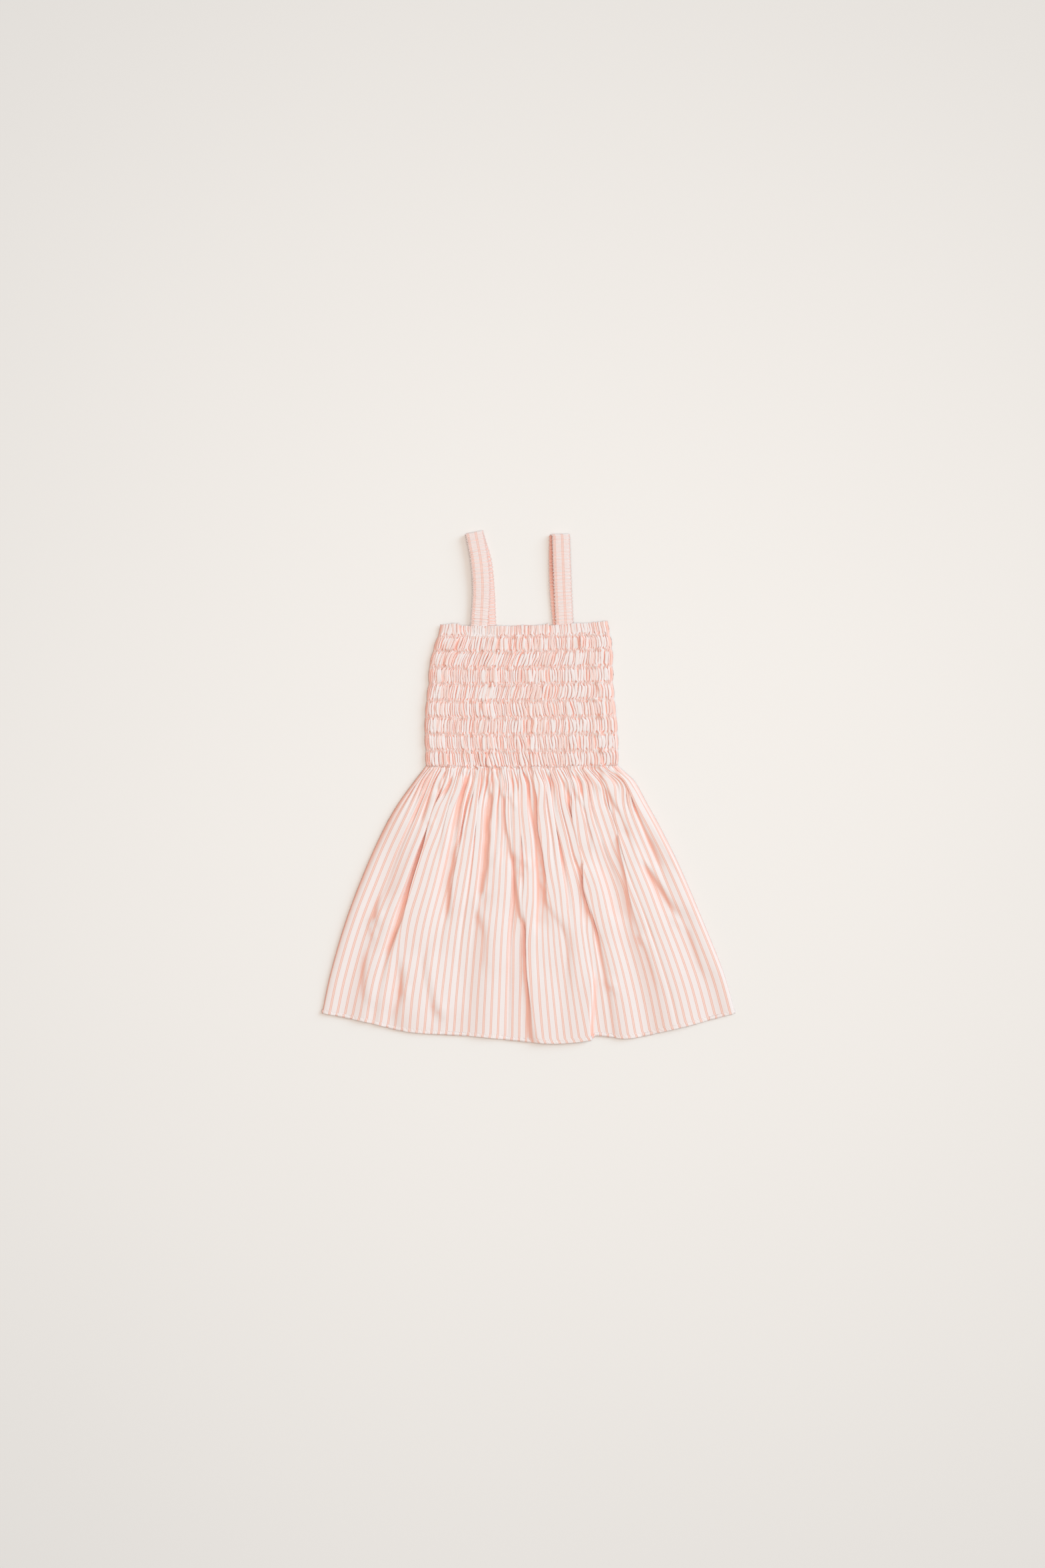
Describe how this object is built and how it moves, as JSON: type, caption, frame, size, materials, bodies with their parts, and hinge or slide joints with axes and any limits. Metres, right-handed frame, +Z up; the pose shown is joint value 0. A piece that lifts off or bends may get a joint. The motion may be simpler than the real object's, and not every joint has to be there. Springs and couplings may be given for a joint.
{
  "type": "smocked dress",
  "caption": "Child's sleeveless smocked dress with gathered skirt and two shirred straps, in pinstriped cotton, laid out flat on its back.",
  "frame": {"origin": "middle of the laid dress's bounding box, on the surface that it lies on", "axes": "+X to the right of the dress as seen from above, +Y from the hem to the shoulder straps, +Z up from the surface"},
  "size_m": [0.4646, 0.5776, 0.0105],
  "materials": {
    "cotton": "soft matte woven cotton, pale with fine double pinstripes",
    "strap_cotton": "soft matte woven cotton, shirred on elastic thread"
  },
  "bodies": {
    "root": {"front": "cotton", "back": "cotton", "strap_left": "strap_cotton", "strap_right": "strap_cotton"}
  },
  "joints": []
}
